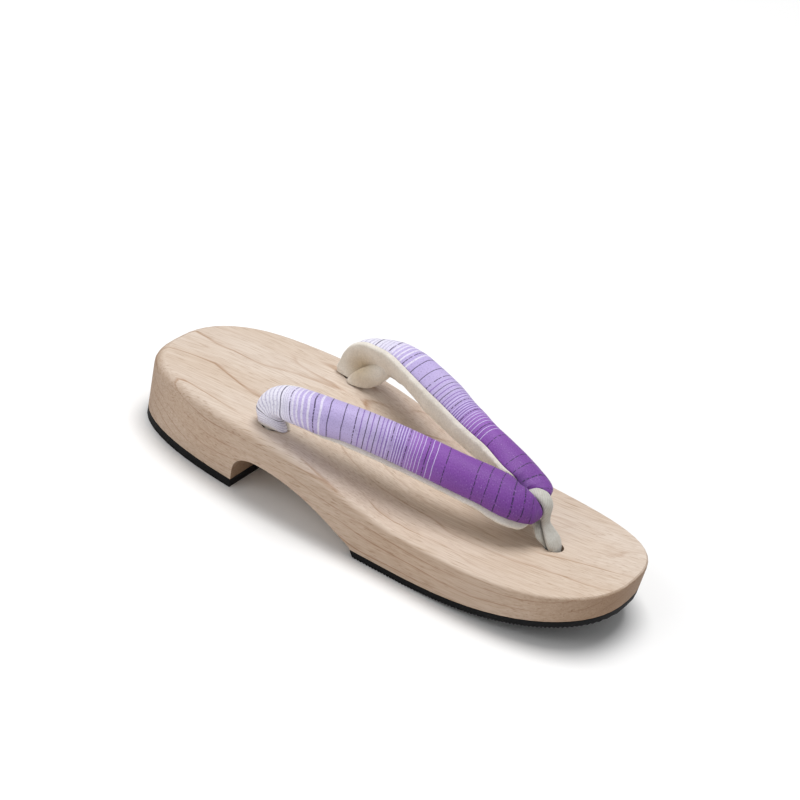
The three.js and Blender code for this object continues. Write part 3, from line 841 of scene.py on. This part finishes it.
# How its two edges draw in to the tip, where its lip ends and where its end is rounded
INNER_TAPER = 0.85
INNER_TAPER_COMES = (63, 70.5)
OUTER_TAPER = 0.8
OUTER_TAPER_COMES = (64.5, 71.5)
LIP_GOES = (52, 58)
SEAT_ROUND_BACK = (40, 44)
SEAT_ROUND_TOP = 38
SEAT_ROUND_FADE = 4
# How near it comes to the shoe's middle, where the toe post passes
MIDDLE_GAP = 0.6
MIDDLE_ROOM = 3.3
MIDDLE_ROOM_COMES = (56, 62)
# The nap's unevenness: heights and sizes of fine and broad waves, on the face and along the edges
NAP_WAVES = ((0.22, 1.6), (0.2, 6.0))
NAP_EDGE = 0.9
NAP_FACE = 0.1

# The fold of velvet that fills the inside of the far arm's bend, and its slope
FOLD_CENTRE = (-34.9, 29.0, 40.2)
FOLD_LONG = 11.8
FOLD_WIDE = 5.0
FOLD_THICK = 3.4
FOLD_LEAN = 0.16
FOLD_SLOPE = math.radians(40.8)
FOLD_FLOOR = 34.3
FOLD_WRINKLE = 0.25
FOLD_WRINKLE_PITCH = 3.6
FOLD_LUMP = 0.5
FOLD_LUMP_SIZE = 4.0


def lining_section(plump, lip):
    """Shares across and heights of the lining's section: top, outer roll, crowned face, inner roll,
    and the lip that closes the seam along the inner edge."""
    points = [(share, LINING_TOP) for share in (0.97, 0.6, 0.2, -0.2, -0.6, -0.97)]
    points += [(-1.02, 1.3), (-1.03, 0.5)]
    for share in LINING_SHARES:
        points.append((share, -(LINING_CROWN + plump * (1 + share) / PLUMP_PEAK) * (1 - share ** 2)))
    points += [(1.03, 0.5), (1.03, 1.3), (1.025, LINING_TOP + 0.7 * lip), (0.99, LINING_TOP + lip)]
    return points


def add_fold(bm):
    """A plump fold of the same velvet, from the seat up to the underside of the arm."""
    along = Vector((math.cos(FOLD_SLOPE), FOLD_LEAN, math.sin(FOLD_SLOPE)))
    across = Vector((math.sin(FOLD_SLOPE), 0, -math.cos(FOLD_SLOPE)))
    aside = Vector((0, FOLD_THICK, 0))
    turn = Matrix((across * FOLD_WIDE, aside, along * FOLD_LONG)).transposed().to_4x4()
    made = bmesh.ops.create_uvsphere(bm, u_segments=28, v_segments=18, radius=1,
                                     matrix=Matrix.Translation(FOLD_CENTRE) @ turn)["verts"]
    for vert in made:
        way = (vert.co - Vector(FOLD_CENTRE)).dot(along)
        wrinkle = FOLD_WRINKLE * math.sin(way * 2 * math.pi / FOLD_WRINKLE_PITCH)
        vert.co.y -= wrinkle + FOLD_LUMP * noise.noise(vert.co / FOLD_LUMP_SIZE)
        vert.co.z = max(vert.co.z, FOLD_FLOOR)
        for face in vert.link_faces:
            face.smooth = True


def lining(rows, name, node_name, material, side):
    """One arm's velvet band, the far one at side 1 with its lip and its fold, the near at -1."""
    rim = FAR_RIM if side > 0 else NEAR_RIM
    rings = []
    maps = []
    for row in rows:
        x = row.centre.x
        if x > LINING_FIRST_X:
            continue
        inner = (row.width / 2 + rim) * (1 - INNER_TAPER * smooth_share(x, *INNER_TAPER_COMES))
        rounded = smooth_share(SEAT_ROUND_TOP - row.centre.z, 0, SEAT_ROUND_FADE)
        inner -= SEAT_ROUND * rounded * smooth_share(-x, *SEAT_ROUND_BACK)
        roll = ROLL_PAST * smooth_share(x, *ROLL_COMES) + TIP_ROLL * smooth_share(x, *TIP_ROLL_COMES)
        outer = row.width / 2 + roll + outer_swell(x)
        outer *= 1 - OUTER_TAPER * smooth_share(x, *OUTER_TAPER_COMES)
        nearest = MIDDLE_GAP + MIDDLE_ROOM * smooth_share(x, *MIDDLE_ROOM_COMES)
        plump = float(np.interp(x, PLUMP_PLACES, PLUMP_HEIGHTS))
        lip = LINING_LIP * (1 - smooth_share(x, *LIP_GOES)) * (side > 0)
        ring = []
        for share, v in lining_section(plump, lip):
            u = (inner - outer) / 2 + share * (inner + outer) / 2
            point = row.centre + row.across * u + row.out * v + inner_swell(x, share)
            rough = sum(height * noise.noise(point / size) for height, size in NAP_WAVES)
            aside = row.across * math.copysign(1, share) * (abs(share) > NAP_EDGE)
            point += (aside - row.out * (v < NAP_FACE)) * rough
            point.y = max(point.y, nearest)
            ring.append(settled(Vector((point.x, point.y * side, point.z))))
        rings.append(ring)
        maps.append([(row.way, around) for around in girth(ring)])
    bm = ring_tube(rings, maps)
    if side > 0:
        add_fold(bm)
    piece = add_piece(name, bm, material, "velvet", node_name)
    soften(piece, 2)


def squeezed(point):
    """Keeps a point of the band within the toe hole, and lets it spread above the rim."""
    room = TOE_HOLE.room + TOE_HOLE.flare * max(0.0, point.z - TOE_HOLE.rim)
    gap = Vector((point.x - TOE_HOLE.x, point.y, 0))
    return point - gap * max(0.0, 1 - room / max(gap.length, room))


# Lumps of the band's stuffing
BAND_LUMP = 0.22
BAND_LUMP_SIZE = 3.0


def toe_post():
    """The cotton band that holds the V down, from the toe hole over the V and back."""
    rings = []
    maps = []
    for row in post_rows():
        ring = []
        for side in range(POST_SIDES):
            turn = side * 2 * math.pi / POST_SIDES
            flat = bow(math.cos(turn))
            point = row.centre + Vector((0, 1, 0)) * (row.width / 2 * flat)
            point += row.out * (row.thick / 2 * math.sin(turn))
            point += row.out * (BAND_LUMP * noise.noise(point / BAND_LUMP_SIZE))
            ring.append(squeezed(point))
        rings.append(ring)
        maps.append([(row.way, around) for around in girth(ring)])
    bm = ring_tube(rings, maps)
    piece = add_piece("post_band", bm, cotton_twill(), "white_cotton", "toe_post")
    soften(piece, 2)


# The floor's half width and how far it lies under the treads, in metres, the light from all round,
# and the two lamps: name, place and size in metres, and watts
FLOOR_SIZE = 3.0
FLOOR_DROP = 0.00005
ROOM_LIGHT = 0.36
LAMPS = (
    ("key", (-0.25, 0.3, 2.5), 1.4, 50.0),
    ("fill", (-0.65, -1.45, 1.1), 1.2, 7.0),
)
# The photograph's viewing angle: the camera's right, up and back, its place in millimetres and its
# lens and sensor in millimetres
VIEW_RIGHT = Vector((0.83509675, 0.50056145, 0.2281483))
VIEW_UP = Vector((-0.42577024, 0.32552629, 0.84424661))
VIEW_BACK = Vector((0.34832904, -0.80216637, 0.48497011))
VIEW_PLACE = Vector((377.458, -880.952, 586.720))
VIEW_LENS = 115.092
VIEW_SENSOR = 36.0


def studio():
    """A pale floor, soft lights and the camera at the photograph's angle."""
    bm = bmesh.new()
    bmesh.ops.create_grid(bm, x_segments=2, y_segments=2, size=FLOOR_SIZE)
    mesh = bpy.data.meshes.new("floor")
    bm.to_mesh(mesh)
    bm.free()
    floor = bpy.data.objects.new("floor", mesh)
    bpy.context.scene.collection.objects.link(floor)
    floor.data.transform(Matrix.Translation((0, 0, -FLOOR_DROP)))
    made, _, shader = finish_material("pale_paper")
    shader.inputs["Base Color"].default_value = linear("#f7f7f7")
    shader.inputs["Roughness"].default_value = 1.0
    shader.inputs["Specular IOR Level"].default_value = 0.0
    mesh.materials.append(made)
    world = bpy.data.worlds.new("studio")
    world.use_nodes = True
    air = world.node_tree.nodes["Background"]
    air.inputs["Color"].default_value = linear("#ffffff")
    air.inputs["Strength"].default_value = ROOM_LIGHT
    bpy.context.scene.world = world
    bpy.context.scene.view_settings.view_transform = "Standard"
    for name, spot, size, power in LAMPS:
        lamp = bpy.data.lights.new(name, "AREA")
        lamp.shape = "SQUARE"
        lamp.size = size
        lamp.energy = power
        light = bpy.data.objects.new(name, lamp)
        light.location = spot
        light.rotation_euler = (-Vector(spot)).to_track_quat("-Z", "Y").to_euler()
        bpy.context.scene.collection.objects.link(light)
    lens = bpy.data.cameras.new("camera")
    lens.sensor_width = VIEW_SENSOR
    lens.lens = VIEW_LENS
    camera = bpy.data.objects.new("camera", lens)
    turn = Matrix((VIEW_RIGHT, VIEW_UP, VIEW_BACK)).transposed().to_4x4()
    camera.matrix_world = Matrix.Translation(VIEW_PLACE * MM) @ turn
    bpy.context.scene.collection.objects.link(camera)
    bpy.context.scene.camera = camera


arm = strap_rows()
wood_base()
treads()
strap_cover(arm)
velvet = cream_velvet()
lining(arm, "lining_far", "lining_left", velvet, 1)
lining(arm, "lining_near", "lining_right", velvet, -1)
toe_post()
studio()
